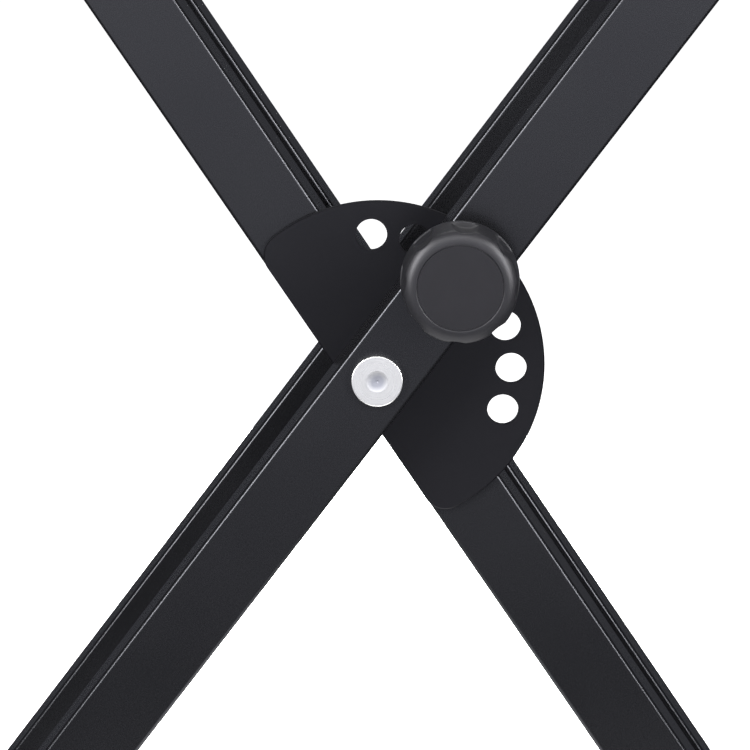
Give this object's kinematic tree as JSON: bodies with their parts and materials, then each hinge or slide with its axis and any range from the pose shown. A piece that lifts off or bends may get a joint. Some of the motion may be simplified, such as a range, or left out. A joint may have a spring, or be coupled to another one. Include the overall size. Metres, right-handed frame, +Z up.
{
  "type": "keyboard stand",
  "caption": "Folding double-braced X keyboard stand of black steel tube, with a pivot bolt, a hole plate with a pull-pin knob for the height, and rubber-sleeved support bars.",
  "frame": {"origin": "on the floor, midway between the feet and under the pivot", "axes": "+X to the player's right as seen from the knob side, +Y from the knob side to the back, +Z up"},
  "size_m": [0.6048, 0.462, 0.8255],
  "materials": {
    "leg_paint": "satin black powder coat",
    "plate_paint": "satin black powder coat",
    "turned_steel": "bright turned steel",
    "zinc_steel": "zinc plated",
    "bearing_brass": "turned",
    "nylon": "natural nylon",
    "knob_plastic": "fine moulded grain",
    "cap_plastic": "moulded",
    "grip_rubber": "matt",
    "foot_rubber": "matt"
  },
  "bodies": {
    "outer_legs": {"outer_front_leg": "leg_paint", "outer_rear_leg": "leg_paint", "outer_support_bar": "leg_paint", "outer_foot_bar": "leg_paint", "outer_front_sleeve": "grip_rubber", "outer_rear_sleeve": "grip_rubber", "outer_bar_caps": "cap_plastic", "pivot_bolt": "turned_steel", "front_crush_tube": "zinc_steel", "rear_crush_tube": "zinc_steel", "front_wear_washer": "nylon", "rear_wear_washer": "nylon", "nut_washer": "zinc_steel", "pivot_nut": "zinc_steel", "nut_lock_ring": "nylon", "lock_barrel": "zinc_steel", "pin_guide": "bearing_brass", "lock_spring": "zinc_steel"},
    "inner_legs": {"inner_front_leg": "leg_paint", "inner_rear_leg": "leg_paint", "inner_support_bar": "leg_paint", "inner_foot_bar": "leg_paint", "inner_front_sleeve": "grip_rubber", "inner_rear_sleeve": "grip_rubber", "inner_bar_caps": "cap_plastic", "lock_plate": "plate_paint", "front_bush": "zinc_steel", "rear_bush": "zinc_steel", "pivot_spacer": "zinc_steel"},
    "lock_slide": {"thrust_washer": "zinc_steel"},
    "lock_knob": {"lock_pin": "zinc_steel", "knob_grip": "knob_plastic", "knob_cap": "knob_plastic", "knob_insert": "bearing_brass"},
    "front_left_cup": {"front_left_foot": "foot_rubber"},
    "rear_left_cup": {"rear_left_foot": "foot_rubber"},
    "front_right_cup": {"front_right_foot": "foot_rubber"},
    "rear_right_cup": {"rear_right_foot": "foot_rubber"}
  },
  "joints": [
    {"name": "leg_fold", "type": "hinge", "parent": "outer_legs", "child": "inner_legs", "pos_m": [0, 0, 0.41475], "axis": [0, 1, 0], "range_deg": [-75.2, 63.6]},
    {"name": "lock_pull", "type": "slide", "parent": "outer_legs", "child": "lock_slide", "axis": [0, -1, 0], "range_m": [-0.009, 0], "stiffness_N_per_m": 1500, "springref_m": -0.015, "deforming": ["lock_spring"]},
    {"name": "knob_turn", "type": "hinge", "parent": "lock_slide", "child": "lock_knob", "pos_m": [0.03045, -0.08, 0.45776], "axis": [0, -1, 0], "continuous": true},
    {"name": "front_left_foot_turn", "type": "hinge", "parent": "outer_legs", "child": "front_left_cup", "pos_m": [-0.27737, 0, 0.023], "axis": [0, 1, 0], "continuous": true},
    {"name": "rear_left_foot_turn", "type": "hinge", "parent": "outer_legs", "child": "rear_left_cup", "pos_m": [-0.27737, 0, 0.023], "axis": [0, 1, 0], "continuous": true},
    {"name": "front_right_foot_turn", "type": "hinge", "parent": "inner_legs", "child": "front_right_cup", "pos_m": [0.27737, 0, 0.023], "axis": [0, 1, 0], "continuous": true},
    {"name": "rear_right_foot_turn", "type": "hinge", "parent": "inner_legs", "child": "rear_right_cup", "pos_m": [0.27737, 0, 0.023], "axis": [0, 1, 0], "continuous": true}
  ]
}
